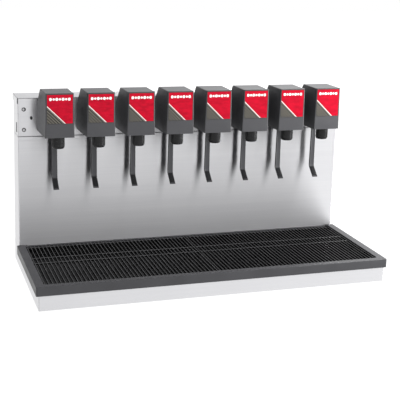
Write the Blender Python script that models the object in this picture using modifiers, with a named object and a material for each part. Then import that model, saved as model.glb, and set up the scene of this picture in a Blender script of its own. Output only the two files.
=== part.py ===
"""Countertop soda dispenser: eight lever valves on a splash-back over a drip tray.

Metres, +Z up. The origin is the bottom centre of the whole object, and the
front faces -Y. Run with: blender --background --python part.py
"""
import math

import bmesh
import bpy
from mathutils import Matrix

# ---- clearances and stock ---------------------------------------------
GAP = 0.0003                    # between pieces that touch
BITE = 0.001                    # overlap of shapes that are joined into one solid
SHEET = 0.0015                  # stainless sheet
TRAY_WALL = 0.0025              # moulded tray wall

# ---- base and tower ---------------------------------------------------
END_MARGIN = 0.0356             # base past half a pitch from the end valves
BASE_DEPTH = 0.396
TOWER_DEPTH = 0.080             # splash face to the back of the tower
TOWER_RISE = 0.082              # top of the tower above COVER_BOTTOM
HEADER_DROP = 0.0155            # lower edge of the valve plate below COVER_BOTTOM
SEAM = 0.0015                   # open seam between the valve plate and the splash panel
HEM_HEIGHT = 0.0095
HEM_PROUD = 0.0015
RETURN_FLANGE = 0.014           # flange the rear cover sits on
CAP_SKIRT = 0.015               # side skirt of the top cap
REAR_SLOT = (0.160, 0.050)      # tube opening at the foot of the rear cover
REAR_MARGIN = 0.002             # rear cover inside the tower's width

# ---- drip tray --------------------------------------------------------
TRAY_OVERHANG_SIDE = 0.006
TRAY_OVERHANG_FRONT = 0.003
RIM_TOP = 0.059
LIP_HEIGHT = 0.022
RIM_SIDE = 0.020
RIM_FRONT = 0.018
RIM_REAR = 0.0058
SILL_RISE = 0.0023              # rear basin wall above the ledge, and its sill on top
SILL_THICK = 0.0025
RIM_EDGE = 0.0015               # chamfer round the rim's outer edge
TRAY_CORNER = 0.004             # outside corners
LEDGE_DROP = 0.0078             # rim top down to the ledge under the grilles
LEDGE_WIDTH = 0.005
BASIN_DEPTH = 0.025             # rim top down to the floor at the basin wall
DRAIN_FALL = 0.005              # floor fall from the wall to the drain
DRAIN_RADIUS = 0.015
DRAIN_FORWARD = 0.060           # drain centre ahead of the splash face
SPOUT_GAP = 0.0015              # tray floor to the spout's flange, which the floor's fall closes
SPOUT_WALL = 0.003
SPOUT_FLANGE = 0.006
SPOUT_BOTTOM = 0.004
BARB_STEP = 0.002
BARB_HEIGHT = 0.008
BASIN_CORNER = 0.006            # inside corners, where the grilles drop in
CORNER_STEPS = 4

# ---- grilles ----------------------------------------------------------
GRILLE_THICK = 0.005
GRILLE_RAIL = 0.004
GRILLE_BAR = 0.0030
GRILLE_PITCH = 0.0098
GRILLE_EDGE_GAP = 0.0008
FINGER_FRONT = 0.004            # bars past the front and the rear rail
FINGER_REAR = 0.008
CROSS_RIBS = (0.157, 0.196)     # middle ribs, behind the grilles' front edge

# ---- valves -----------------------------------------------------------
VALVES = 8
VALVE_PITCH = 0.1016
COVER_BOTTOM = 0.360            # the tower and the valves are set out from this height
COVER_DEPTH = 0.110             # splash face to the front of a cover
COVER_REAR_GAP = 0.001
COVER_WALL = 0.0022
COVER_EDGE = 0.0012             # rounding of a cover's outer edges
COVER_TOP_FRONT = 0.109         # heights above COVER_BOTTOM
COVER_TOP_REAR = 0.1085
COVER_SHOULDER = 0.068
COVER_TOP_START = 0.026         # depth where the top begins
COVER_HALF_FRONT = (0.0360, 0.0338)   # half widths at the bottom and the top
COVER_HALF_REAR = (0.0390, 0.0352)
PANEL_WIDTH = 0.064
PANEL_HEIGHT = 0.072
PANEL_THICK = 0.0009
PANEL_TOP_MARGIN = 0.0022       # below the front face's top edge
BLOCK_WIDTH = 0.042
BLOCK_HEIGHT = 0.042
BLOCK_RISE = 0.010              # above COVER_BOTTOM
BLOCK_BEHIND = 0.026
BLOCK_AHEAD = 0.012
BLOCK_FLANGE = 0.006            # flange past the header hole, each side
FLANGE_THICK = 0.003
INLET_RADIUS = 0.0045
INLET_LENGTH = 0.012
PLATE_BACK = 0.046              # depths of the valve body's base plate
PLATE_THICK = 0.0035
PLATE_DROP = 0.001              # plate underside above the cover's lower edge
BODY_WIDTH = 0.044
BODY_RISE = 0.060               # top of the flow block above COVER_BOTTOM
NECK_WIDTH = 0.020
NECK_RISE = (0.028, 0.048)      # underside and top of the neck above COVER_BOTTOM
BLOCK_SETBACK = 0.006           # flow block behind the base plate's front edge
PLATE_SIDE_GAP = 0.0016         # base plate to the cover's inner walls
PLATE_FRONT_GAP = 0.0025
EAR_BEYOND = 0.006              # ear past the lever's pin
EAR_THICK = 0.003
EAR_RISE = 0.0205

# ---- nozzles and levers -----------------------------------------------
NOZZLE_RADIUS = 0.0160
NOZZLE_BORE = 0.0135
NOZZLE_TIP = 0.0150
NOZZLE_MOUTH = 0.0105
NOZZLE_HEIGHT = 0.031
NOZZLE_TAPER = 0.004
NOZZLE_SETBACK = 0.026          # nozzle axis behind the cover's front
COLLAR_LENGTH = 0.012
TURN_STEPS = 20
LEVER_WIDTH = 0.0095            # at the pivot
LEVER_TIP_WIDTH = 0.0125
LEVER_THICK = 0.0038
LEVER_DEPTH = 0.032             # pivot and straight part, ahead of the splash
PIVOT_RISE = 0.012              # above COVER_BOTTOM
LEVER_KNEE_DROP = 0.129         # knee and tip below the pivot
LEVER_LENGTH = 0.153
LEVER_BEND_ANGLE = math.radians(48)
LEVER_KNEE_RADIUS = 0.012
LEVER_KNEE_STEPS = 4
LEVER_TOP = 0.004               # arm above the pivot
PIN_RADIUS = 0.0025
BOSS_RADIUS = 0.0042
PIN_STEPS = 12
PIN_CLEARANCE = 0.0004

# ---- water rail and transformer ---------------------------------------
RAIL_RADIUS = 0.008
RAIL_BEHIND = 0.050             # rail axis behind the splash face
RAIL_STEPS = 12
RAIL_PAST = 0.020               # rail past the last branch
TRANSFORMER_SIZE = (0.075, 0.050, 0.060)
TRANSFORMER_CORE = 0.046        # width of the laminated core
TRANSFORMER_STEP = 0.007        # the coil stands back from the core's faces
TRANSFORMER_X = 0.330
TRANSFORMER_BOTTOM = 0.120

# ---- places that follow from the sizes above --------------------------
BASE_WIDTH = VALVES * VALVE_PITCH + 2 * END_MARGIN
TOWER_TOP = COVER_BOTTOM + TOWER_RISE
HEADER_BOTTOM = COVER_BOTTOM - HEADER_DROP
SPLASH_TOP = HEADER_BOTTOM - SEAM
LIP_BOTTOM = RIM_TOP - LIP_HEIGHT
LEDGE = RIM_TOP - LEDGE_DROP
BASIN_FLOOR = RIM_TOP - BASIN_DEPTH
TOTAL_DEPTH = BASE_DEPTH + TRAY_OVERHANG_FRONT
Y_REAR = TOTAL_DEPTH / 2
Y_BASE_FRONT = Y_REAR - BASE_DEPTH
Y_SPLASH = Y_REAR - TOWER_DEPTH
BASE_TOP = RIM_TOP - TRAY_WALL - GAP
HALF_BASE = BASE_WIDTH / 2
GRILLE_TOP = LEDGE + GAP + GRILLE_THICK
COVER_TOP = COVER_BOTTOM + COVER_TOP_FRONT
BLOCK_BOTTOM = COVER_BOTTOM + BLOCK_RISE
BLOCK_TOP = BLOCK_BOTTOM + BLOCK_HEIGHT
NOZZLE_TOP = COVER_BOTTOM + PLATE_DROP - GAP
NOZZLE_DEPTH = COVER_DEPTH - NOZZLE_SETBACK
LEVER_PIVOT = COVER_BOTTOM + PIVOT_RISE


def clear_scene():
    """Remove whatever the file already holds."""
    for old in list(bpy.data.objects):
        bpy.data.objects.remove(old, do_unlink=True)


def material(name, colour, roughness, metallic):
    """One Principled material, made once and shared."""
    if name in bpy.data.materials:
        return bpy.data.materials[name]
    made = bpy.data.materials.new(name)
    made.use_nodes = True
    shader = made.node_tree.nodes["Principled BSDF"]
    shader.inputs["Base Color"].default_value = (*colour, 1.0)
    shader.inputs["Roughness"].default_value = roughness
    shader.inputs["Metallic"].default_value = metallic
    return made


def stainless():
    return material("brushed_stainless", (0.60, 0.60, 0.61), 0.32, 1.0)


def charcoal():
    return material("charcoal_plastic", (0.07, 0.07, 0.075), 0.45, 0.0)


def black_plastic():
    return material("black_plastic", (0.012, 0.012, 0.013), 0.40, 0.0)


def cover_grey():
    return material("cover_grey_plastic", (0.11, 0.11, 0.115), 0.42, 0.0)


def panel_red():
    return material("panel_red", (0.80, 0.01, 0.03), 0.25, 0.0)


def copper_brown():
    return material("coil_brown", (0.22, 0.09, 0.04), 0.50, 0.0)


def parts_collection():
    """The collection that holds the finished parts."""
    if "soda_dispenser" not in bpy.data.collections:
        made = bpy.data.collections.new("soda_dispenser")
        bpy.context.scene.collection.children.link(made)
    return bpy.data.collections["soda_dispenser"]


def add_object(name, mesh, finish, place=(0, 0, 0)):
    """Link a mesh as a named part with its own finish."""
    obj = bpy.data.objects.new(name, mesh)
    obj.location = place
    mesh.materials.clear()
    mesh.materials.append(finish)
    parts_collection().objects.link(obj)
    return obj


def mesh_from(bm, name):
    """Turn a bmesh into a mesh with its faces pointing out."""
    bmesh.ops.recalc_face_normals(bm, faces=bm.faces)
    mesh = bpy.data.meshes.new(name)
    bm.to_mesh(mesh)
    bm.free()
    return mesh


def box(low, high):
    """A box between two corners."""
    bm = bmesh.new()
    size = [b - a for a, b in zip(low, high)]
    middle = [(a + b) / 2 for a, b in zip(low, high)]
    bmesh.ops.create_cube(bm, size=1.0)
    bmesh.ops.scale(bm, vec=size, verts=bm.verts)
    bmesh.ops.translate(bm, vec=middle, verts=bm.verts)
    return mesh_from(bm, "box")


def rod(start, axis, radius, length, steps):
    """A round rod from a point, along X, Y or Z."""
    bm = bmesh.new()
    bmesh.ops.create_cone(bm, cap_ends=True, segments=steps, radius1=radius,
                          radius2=radius, depth=length)
    bmesh.ops.translate(bm, vec=(0, 0, length / 2), verts=bm.verts)
    turn = {"X": Matrix.Rotation(math.pi / 2, 3, "Y"),
            "Y": Matrix.Rotation(-math.pi / 2, 3, "X"),
            "Z": Matrix.Identity(3)}[axis]
    bmesh.ops.rotate(bm, cent=(0, 0, 0), matrix=turn, verts=bm.verts)
    bmesh.ops.translate(bm, vec=start, verts=bm.verts)
    return mesh_from(bm, "rod")


def evaluated(obj):
    """The mesh an object has once its modifiers are worked out."""
    graph = bpy.context.evaluated_depsgraph_get()
    return bpy.data.meshes.new_from_object(obj.evaluated_get(graph))


def combine(mesh, tools, operation="UNION"):
    """Join meshes to the first one, or cut them out of it."""
    for tool in tools:
        target = bpy.data.objects.new("target", mesh)
        cutter = bpy.data.objects.new("cutter", tool)
        bpy.context.scene.collection.objects.link(target)
        bpy.context.scene.collection.objects.link(cutter)
        cut = target.modifiers.new("combine", "BOOLEAN")
        cut.object = cutter
        cut.operation = operation
        cut.solver = "EXACT"
        mesh = evaluated(target)
        bpy.data.objects.remove(target)
        bpy.data.objects.remove(cutter)
    return mesh


def folded_sheet(outline, axis, start, stop, thickness, offset):
    """Sheet metal: an open outline pulled along Z or Y, then given its gauge.

    The outline holds (x, y) points for axis Z and (x, z) points for axis Y.
    """
    bm = bmesh.new()
    if axis == "Z":
        points = [(a, b, start) for a, b in outline]
        pull = (0, 0, stop - start)
    else:
        points = [(a, start, b) for a, b in outline]
        pull = (0, stop - start, 0)
    corners = [bm.verts.new(point) for point in points]
    edges = [bm.edges.new(pair) for pair in zip(corners, corners[1:])]
    pulled = bmesh.ops.extrude_edge_only(bm, edges=edges)["geom"]
    moved = [item for item in pulled if isinstance(item, bmesh.types.BMVert)]
    bmesh.ops.translate(bm, vec=pull, verts=moved)
    mesh = bpy.data.meshes.new("sheet")
    bm.to_mesh(mesh)
    bm.free()
    return thicken(mesh, thickness, offset)


def thicken(mesh, thickness, offset):
    """Give an open surface its wall thickness."""
    holder = bpy.data.objects.new("holder", mesh)
    bpy.context.scene.collection.objects.link(holder)
    wall = holder.modifiers.new("wall", "SOLIDIFY")
    wall.thickness = thickness
    wall.offset = offset
    wall.use_even_offset = True
    made = evaluated(holder)
    bpy.data.objects.remove(holder)
    return made


def flat_outline(outer, holes, thickness, height):
    """A flat plate from an outer outline and holes, drawn as a 2D curve."""
    curve = bpy.data.curves.new("outline", "CURVE")
    curve.dimensions = "2D"
    curve.fill_mode = "BOTH"
    curve.extrude = thickness / 2
    for ring in [outer, *holes]:
        spline = curve.splines.new("POLY")
        spline.points.add(len(ring) - 1)
        for point, (x, y) in zip(spline.points, ring):
            point.co = (x, y, 0, 1)
        spline.use_cyclic_u = True
    holder = bpy.data.objects.new("outline", curve)
    bpy.context.scene.collection.objects.link(holder)
    mesh = evaluated(holder)
    bpy.data.objects.remove(holder)
    bm = bmesh.new()
    bm.from_mesh(mesh)
    bmesh.ops.remove_doubles(bm, verts=bm.verts, dist=1e-6)
    bmesh.ops.translate(bm, vec=(0, 0, height), verts=bm.verts)
    return mesh_from(bm, "plate")


def rectangle(x0, y0, x1, y1):
    return [(x0, y0), (x1, y0), (x1, y1), (x0, y1)]


def turned(profile):
    """A closed profile of (radius, height) points turned about Z."""
    bm = bmesh.new()
    corners = [bm.verts.new((radius, 0, height)) for radius, height in profile]
    for pair in zip(corners, corners[1:] + corners[:1]):
        bm.edges.new(pair)
    mesh = bpy.data.meshes.new("profile")
    bm.to_mesh(mesh)
    bm.free()
    holder = bpy.data.objects.new("holder", mesh)
    bpy.context.scene.collection.objects.link(holder)
    turn = holder.modifiers.new("turn", "SCREW")
    turn.steps = TURN_STEPS
    turn.render_steps = TURN_STEPS
    turn.use_merge_vertices = True
    turn.merge_threshold = 0.00001
    made = evaluated(holder)
    bpy.data.objects.remove(holder)
    bm = bmesh.new()
    bm.from_mesh(made)
    return mesh_from(bm, "turned")


# ---- sheet-metal pieces -----------------------------------------------
def drain_centre():
    return (0.0, Y_SPLASH - DRAIN_FORWARD)


def make_base_pan():
    """Skirt and floor in one folded pan, open at the top, with a drain hole."""
    outer = box((-HALF_BASE, Y_BASE_FRONT, 0), (HALF_BASE, Y_REAR, BASE_TOP))
    inner = box((-HALF_BASE + SHEET, Y_BASE_FRONT + SHEET, SHEET),
                (HALF_BASE - SHEET, Y_REAR - SHEET, BASE_TOP + SHEET))
    x, y = drain_centre()
    hole = rod((x, y, -SHEET), "Z", 2 * DRAIN_RADIUS, 3 * SHEET, TURN_STEPS)
    return add_object("base_pan", combine(outer, [inner, hole], "DIFFERENCE"), stainless())


def tower_outline(half_width, y_front):
    """Front, two returns and two rear flanges, seen from above."""
    y_flange = Y_REAR - SHEET - GAP
    return [(-half_width + RETURN_FLANGE, y_flange), (-half_width, y_flange),
            (-half_width, y_front), (half_width, y_front),
            (half_width, y_flange), (half_width - RETURN_FLANGE, y_flange)]


def make_splash_panel():
    """Lower splash-back with its side returns and a proud top hem."""
    sheet = folded_sheet(tower_outline(HALF_BASE, Y_SPLASH), "Z",
                         BASE_TOP + GAP, SPLASH_TOP, SHEET, 1)
    hem = box((-HALF_BASE, Y_SPLASH - HEM_PROUD, SPLASH_TOP - HEM_HEIGHT),
              (HALF_BASE, Y_SPLASH + SHEET / 2, SPLASH_TOP))
    return add_object("splash_panel", combine(sheet, [hem]), stainless())


def valve_x(index):
    return (index - (VALVES - 1) / 2) * VALVE_PITCH


def make_header_panel():
    """Valve plate with its returns, and a hole for each mounting block."""
    sheet = folded_sheet(tower_outline(HALF_BASE, Y_SPLASH), "Z",
                         HEADER_BOTTOM, TOWER_TOP - SHEET - GAP, SHEET, 1)
    half = BLOCK_WIDTH / 2 + GAP
    holes = [box((valve_x(i) - half, Y_SPLASH - SHEET, BLOCK_BOTTOM - GAP),
                 (valve_x(i) + half, Y_SPLASH + 2 * SHEET, BLOCK_TOP + GAP))
             for i in range(VALVES)]
    return add_object("header_panel", combine(sheet, holes, "DIFFERENCE"), stainless())


def make_top_cap():
    """Lid of the tower, skirted down over both ends."""
    half = HALF_BASE + GAP
    drop = TOWER_TOP - CAP_SKIRT
    under = TOWER_TOP - SHEET
    outline = [(-half, drop), (-half, under), (half, under), (half, drop)]
    mesh = folded_sheet(outline, "Y", Y_SPLASH, Y_REAR, SHEET, -1)
    return add_object("top_cap", mesh, stainless())


def make_rear_cover():
    """Flat service cover on the rear flanges, with a tube opening at its foot."""
    x = HALF_BASE - REAR_MARGIN
    low = BASE_TOP + GAP
    high = TOWER_TOP - SHEET - GAP
    plate = box((-x, Y_REAR - SHEET, low), (x, Y_REAR, high))
    width, height = REAR_SLOT
    slot = box((-width / 2, Y_REAR - 2 * SHEET, low - SHEET),
               (width / 2, Y_REAR + SHEET, low + height))
    return add_object("rear_cover", combine(plate, [slot], "DIFFERENCE"), stainless())


# ---- drip tray, spout and grilles -------------------------------------
def rounded_ring(x0, y0, x1, y1, radius, z):
    """Points round a rectangle with rounded corners, from the rear right."""
    ring = []
    corners = [(x1, y1, 0), (x0, y1, 90), (x0, y0, 180), (x1, y0, 270)]
    for cx, cy, start in corners:
        mx = cx - radius if cx == x1 else cx + radius
        my = cy - radius if cy == y1 else cy + radius
        for step in range(CORNER_STEPS + 1):
            angle = math.radians(start + 90 * step / CORNER_STEPS)
            ring.append((mx + radius * math.cos(angle), my + radius * math.sin(angle), z))
    return ring


def tray_box(inset):
    """The tray's outline, inset from its outer edge by a share of each rim."""
    side, front, rear = inset
    half = HALF_BASE + TRAY_OVERHANG_SIDE
    return (-half + side, -TOTAL_DEPTH / 2 + front, half - side, Y_SPLASH - GAP - rear)


def basin_box(extra):
    """The basin's outline, inset a little more than the rim."""
    return tray_box((RIM_SIDE + extra, RIM_FRONT + extra, RIM_REAR + extra))


def drain_ring(radius, z):
    """A round ring with as many points as the rounded rectangles."""
    x, y = drain_centre()
    ring = []
    for quarter in range(4):
        for step in range(CORNER_STEPS + 1):
            turn = math.radians(90 * quarter + 90 * (step + 0.5) / (CORNER_STEPS + 1))
            ring.append((x + radius * math.cos(turn), y + radius * math.sin(turn), z))
    return ring


def make_drip_tray():
    """Moulded tray: lip, rim, grille ledge, a floor to the drain, and a low sill behind."""
    inset = (RIM_EDGE, RIM_EDGE, RIM_EDGE)
    rings = [rounded_ring(*tray_box((0, 0, 0)), TRAY_CORNER, LIP_BOTTOM),
             rounded_ring(*tray_box((0, 0, 0)), TRAY_CORNER, RIM_TOP - RIM_EDGE),
             rounded_ring(*tray_box(inset), TRAY_CORNER - RIM_EDGE, RIM_TOP),
             rounded_ring(*basin_box(0), BASIN_CORNER, RIM_TOP),
             rounded_ring(*basin_box(0), BASIN_CORNER, LEDGE),
             rounded_ring(*basin_box(LEDGE_WIDTH), BASIN_CORNER, LEDGE),
             rounded_ring(*basin_box(LEDGE_WIDTH), BASIN_CORNER, BASIN_FLOOR),
             drain_ring(DRAIN_RADIUS, BASIN_FLOOR - DRAIN_FALL)]
    bm = bmesh.new()
    loops = [[bm.verts.new(point) for point in ring] for ring in rings]
    for outer, inner in zip(loops, loops[1:]):
        count = len(outer)
        for i in range(count):
            j = (i + 1) % count
            bm.faces.new((outer[i], outer[j], inner[j], inner[i]))
    mesh = bpy.data.meshes.new("tray")
    bm.to_mesh(mesh)
    bm.free()
    shell = thicken(mesh, TRAY_WALL, -1)
    clear = HALF_BASE + BITE
    rear_lip = box((-clear, Y_SPLASH - TRAY_WALL - 3 * GAP, LIP_BOTTOM - TRAY_WALL),
                   (clear, Y_SPLASH + TRAY_WALL, RIM_TOP - TRAY_WALL))
    x0, _, x1, y1 = basin_box(0)
    left, right = x0 + BASIN_CORNER, x1 - BASIN_CORNER
    wall_top = LEDGE + SILL_RISE
    rear_rim = box((left, y1 - BITE, wall_top), (right, Y_SPLASH, RIM_TOP + BITE))
    sill = box((left - BITE, y1 + BITE, wall_top - BITE),
               (right + BITE, Y_SPLASH - GAP, wall_top + SILL_THICK))
    tray = combine(combine(shell, [rear_lip, rear_rim], "DIFFERENCE"), [sill])
    return add_object("drip_tray", tray, charcoal())


def make_drain_spout():
    """Flanged spout under the drain, with a hose barb."""
    top = BASIN_FLOOR - DRAIN_FALL - TRAY_WALL - SPOUT_GAP
    bore = DRAIN_RADIUS - SPOUT_WALL
    flange = DRAIN_RADIUS + SPOUT_FLANGE
    neck = DRAIN_RADIUS - BARB_STEP
    low = SPOUT_BOTTOM
    profile = [(bore, top), (flange, top), (flange, top - FLANGE_THICK),
               (neck, top - FLANGE_THICK), (neck, low + BARB_HEIGHT),
               (DRAIN_RADIUS, low + BARB_HEIGHT), (neck, low), (bore, low)]
    x, y = drain_centre()
    return add_object("drain_spout", turned(profile), black_plastic(), (x, y, 0))


def make_grille(name, side):
    """Half of the grille: bars run front to back across the rails and past them."""
    x0, y0, x1, y1 = basin_box(GRILLE_EDGE_GAP)
    if side == "left":
        x1 = -GRILLE_EDGE_GAP / 2
    else:
        x0 = GRILLE_EDGE_GAP / 2
    first, last = x0 + GRILLE_RAIL, x1 - GRILLE_RAIL
    slots = round((last - first + GRILLE_BAR) / GRILLE_PITCH)
    pitch = (last - first + GRILLE_BAR) / slots
    lefts = [first + i * pitch for i in range(slots)]
    width = pitch - GRILLE_BAR
    rails = [y0 + FINGER_FRONT, *[y0 + rib for rib in CROSS_RIBS],
             y1 - FINGER_REAR - GRILLE_RAIL]
    rows = [(near + GRILLE_RAIL, far) for near, far in zip(rails, rails[1:])]
    holes = [rectangle(left, near, left + width, far) for left in lefts for near, far in rows]
    corners = [(x, y) for x, y, _ in rounded_ring(x0, y0, x1, y1, BASIN_CORNER, 0)]
    rear = notches(lefts, width, y1, y1 - FINGER_REAR)
    front = notches(lefts, width, y0, y0 + FINGER_FRONT)
    turn = CORNER_STEPS + 1
    outer = corners[:turn] + rear[::-1] + corners[turn:3 * turn] + front + corners[3 * turn:]
    plate = flat_outline(outer, holes, GRILLE_THICK, GRILLE_TOP - GRILLE_THICK / 2)
    return add_object(name, plate, black_plastic())


def notches(lefts, width, edge, depth):
    """Points that step in from an edge between each pair of bars."""
    points = []
    for left in lefts:
        points += [(left, edge), (left, depth), (left + width, depth), (left + width, edge)]
    return points


# ---- valves -----------------------------------------------------------
# A valve's meshes are drawn round x = 0 and the splash face at y = 0, with
# their true heights, so that all the valves share them.
def make_block_mesh():
    """Mounting block: through the header, flanged in front, a syrup inlet behind."""
    half = BLOCK_WIDTH / 2
    block = box((-half, -BLOCK_AHEAD, BLOCK_BOTTOM), (half, BLOCK_BEHIND, BLOCK_TOP))
    wide = half + BLOCK_FLANGE
    flange = box((-wide, -FLANGE_THICK - GAP, BLOCK_BOTTOM - BLOCK_FLANGE),
                 (wide, -GAP, BLOCK_TOP + BLOCK_FLANGE))
    inlet = rod((half / 2, BLOCK_BEHIND - BITE, BLOCK_BOTTOM + BLOCK_HEIGHT / 4), "Y",
                INLET_RADIUS, INLET_LENGTH + BITE, RAIL_STEPS)
    return combine(block, [flange, inlet])


def make_body_mesh():
    """Valve body: base plate, flow block, neck, lever ears and nozzle collar."""
    plate_bottom = COVER_BOTTOM + PLATE_DROP
    plate_top = plate_bottom + PLATE_THICK
    half_plate = COVER_HALF_FRONT[1] - COVER_WALL - PLATE_SIDE_GAP
    front = -(COVER_DEPTH - COVER_WALL - PLATE_FRONT_GAP)
    plate = box((-half_plate, front, plate_bottom), (half_plate, -PLATE_BACK, plate_top))
    half = BODY_WIDTH / 2
    block = box((-half, front + BLOCK_SETBACK, plate_top - BITE), (half, -PLATE_BACK, COVER_BOTTOM + BODY_RISE))
    under, over = NECK_RISE
    neck = box((-NECK_WIDTH / 2, -PLATE_BACK - BITE, COVER_BOTTOM + under),
               (NECK_WIDTH / 2, -BLOCK_AHEAD - GAP, COVER_BOTTOM + over))
    inner = LEVER_WIDTH / 2 + 2 * GAP
    ears = [box((min(a, b), -PLATE_BACK - BITE, plate_top - BITE),
                (max(a, b), -LEVER_DEPTH + EAR_BEYOND, COVER_BOTTOM + EAR_RISE))
            for a, b in [(inner, inner + EAR_THICK), (-inner, -inner - EAR_THICK)]]
    collar = rod((0, -NOZZLE_DEPTH, plate_bottom - COLLAR_LENGTH), "Z",
                 NOZZLE_BORE - 2 * GAP, COLLAR_LENGTH + BITE, TURN_STEPS)
    holes = [rod((-BODY_WIDTH / 2, -LEVER_DEPTH, LEVER_PIVOT), "X",
                 PIN_RADIUS + PIN_CLEARANCE, BODY_WIDTH, PIN_STEPS)]
    solid = combine(plate, [block, neck, *ears, collar])
    return combine(solid, holes, "DIFFERENCE")


def make_cover_mesh():
    """Valve cover: a wedge-shaped shell, open below and behind, with a label recess."""
    front_low, front_high = COVER_HALF_FRONT
    rear_low, rear_high = COVER_HALF_REAR
    outline = [(COVER_REAR_GAP, 0, rear_low), (COVER_REAR_GAP, COVER_SHOULDER, rear_low),
               (COVER_TOP_START, COVER_TOP_REAR, rear_high),
               (COVER_DEPTH, COVER_TOP_FRONT, front_high), (COVER_DEPTH, 0, front_low)]
    bm = bmesh.new()
    left = [bm.verts.new((-half, -depth, COVER_BOTTOM + rise)) for depth, rise, half in outline]
    side = bm.faces.new(left)
    made = bmesh.ops.extrude_face_region(bm, geom=[side])["geom"]
    for vert in [item for item in made if isinstance(item, bmesh.types.BMVert)]:
        vert.co.x = -vert.co.x
    bmesh.ops.recalc_face_normals(bm, faces=bm.faces)
    low = COVER_BOTTOM + COVER_EDGE
    edges = [edge for edge in bm.edges
             if max(v.co.z for v in edge.verts) > low
             and min(v.co.y for v in edge.verts) < -COVER_REAR_GAP - COVER_EDGE]
    bmesh.ops.bevel(bm, geom=edges, offset=COVER_EDGE, offset_type="OFFSET", segments=2,
                    profile=0.5, affect="EDGES", material=-1, clamp_overlap=True)
    open_sides = [face for face in bm.faces
                  if face.normal.z < -0.95 or
                  (face.normal.y > 0.98 and face.calc_center_median().z
                   < COVER_BOTTOM + COVER_SHOULDER)]
    bmesh.ops.delete(bm, geom=open_sides, context="FACES")
    mesh = bpy.data.meshes.new("cover")
    bm.to_mesh(mesh)
    bm.free()
    shell = thicken(mesh, COVER_WALL, -1)
    x0, z0, x1, z1 = panel_outline(GAP)
    recess = box((x0, -COVER_DEPTH - SHEET, z0), (x1, panel_back() + GAP, z1))
    return combine(shell, [recess], "DIFFERENCE")


def panel_outline(margin):
    """The label panel's outline on the cover's front, grown by a margin."""
    top = COVER_TOP - PANEL_TOP_MARGIN
    half = PANEL_WIDTH / 2 + margin
    return (-half, top - PANEL_HEIGHT - margin, half, top + margin)


def panel_back():
    return -COVER_DEPTH + PANEL_THICK


def make_panel_mesh():
    """Label panel, flush in the cover's recess."""
    x0, z0, x1, z1 = panel_outline(0)
    return box((x0, -COVER_DEPTH, z0), (x1, panel_back(), z1))


def make_nozzle_mesh():
    """Nozzle drawn round its own axis, its top at z = 0."""
    shoulder = NOZZLE_TAPER - NOZZLE_HEIGHT
    wall = NOZZLE_RADIUS - NOZZLE_BORE
    return turned([(NOZZLE_RADIUS, 0), (NOZZLE_RADIUS, shoulder),
                   (NOZZLE_TIP, -NOZZLE_HEIGHT), (NOZZLE_MOUTH, -NOZZLE_HEIGHT),
                   (NOZZLE_BORE, shoulder + wall), (NOZZLE_BORE, 0)])


def lever_shape():
    """The arm's centreline below the pivot: straight down, then an arc forward."""
    straight = LEVER_KNEE_DROP - LEVER_KNEE_RADIUS * math.tan(LEVER_BEND_ANGLE / 2)
    shape = [(0, LEVER_TOP)]
    for step in range(LEVER_KNEE_STEPS + 1):
        angle = LEVER_BEND_ANGLE * step / LEVER_KNEE_STEPS
        shape.append((-LEVER_KNEE_RADIUS * (1 - math.cos(angle)),
                      -straight - LEVER_KNEE_RADIUS * math.sin(angle)))
    knee_y, knee_z = shape[-1]
    run = LEVER_LENGTH + knee_z
    shape.append((knee_y - run * math.tan(LEVER_BEND_ANGLE), knee_z - run))
    return shape


def make_lever_mesh():
    """Lever drawn round its pivot: a flat arm, widening down to a bent tip, on a pin."""
    bm = bmesh.new()
    corners = [bm.verts.new((-0.5, y, z)) for y, z in lever_shape()]
    edges = [bm.edges.new(pair) for pair in zip(corners, corners[1:])]
    pulled = bmesh.ops.extrude_edge_only(bm, edges=edges)["geom"]
    moved = [item for item in pulled if isinstance(item, bmesh.types.BMVert)]
    bmesh.ops.translate(bm, vec=(1, 0, 0), verts=moved)
    for vert in bm.verts:
        share = max(0.0, -vert.co.z / LEVER_LENGTH)
        vert.co.x *= LEVER_WIDTH + (LEVER_TIP_WIDTH - LEVER_WIDTH) * share
    mesh = bpy.data.meshes.new("arm")
    bm.to_mesh(mesh)
    bm.free()
    arm = thicken(mesh, LEVER_THICK, 0)
    half = LEVER_WIDTH / 2
    boss = rod((-half, 0, 0), "X", BOSS_RADIUS, LEVER_WIDTH, PIN_STEPS)
    reach = half + EAR_THICK + GAP
    pin = rod((-reach, 0, 0), "X", PIN_RADIUS, 2 * reach, PIN_STEPS)
    return combine(arm, [boss, pin])


def make_valves():
    """Every valve: the pieces share their meshes from one valve to the next."""
    pieces = [("mounting_block", make_block_mesh(), black_plastic(), (0, 0)),
              ("valve_body", make_body_mesh(), black_plastic(), (0, 0)),
              ("valve_cover", make_cover_mesh(), cover_grey(), (0, 0)),
              ("id_panel", make_panel_mesh(), panel_red(), (0, 0)),
              ("nozzle", make_nozzle_mesh(), black_plastic(), (-NOZZLE_DEPTH, NOZZLE_TOP)),
              ("lever", make_lever_mesh(), charcoal(), (-LEVER_DEPTH, LEVER_PIVOT))]
    for i in range(VALVES):
        for name, mesh, finish, (y, z) in pieces:
            add_object(f"{name}_{i + 1}", mesh, finish, (valve_x(i), Y_SPLASH + y, z))


# ---- inside the tower -------------------------------------------------
def make_water_rail():
    """Carbonated-water rail behind the header, a branch to each mounting block."""
    y = Y_SPLASH + RAIL_BEHIND
    z = BLOCK_BOTTOM + 3 * BLOCK_HEIGHT / 4
    end = valve_x(VALVES - 1) + RAIL_PAST
    main = rod((-end, y, z), "X", RAIL_RADIUS, 2 * end, RAIL_STEPS)
    near = Y_SPLASH + BLOCK_BEHIND + GAP
    branches = [rod((valve_x(i), near, z), "Y", INLET_RADIUS, y - near, RAIL_STEPS)
                for i in range(VALVES)]
    return add_object("water_rail", combine(main, branches), stainless())


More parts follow.
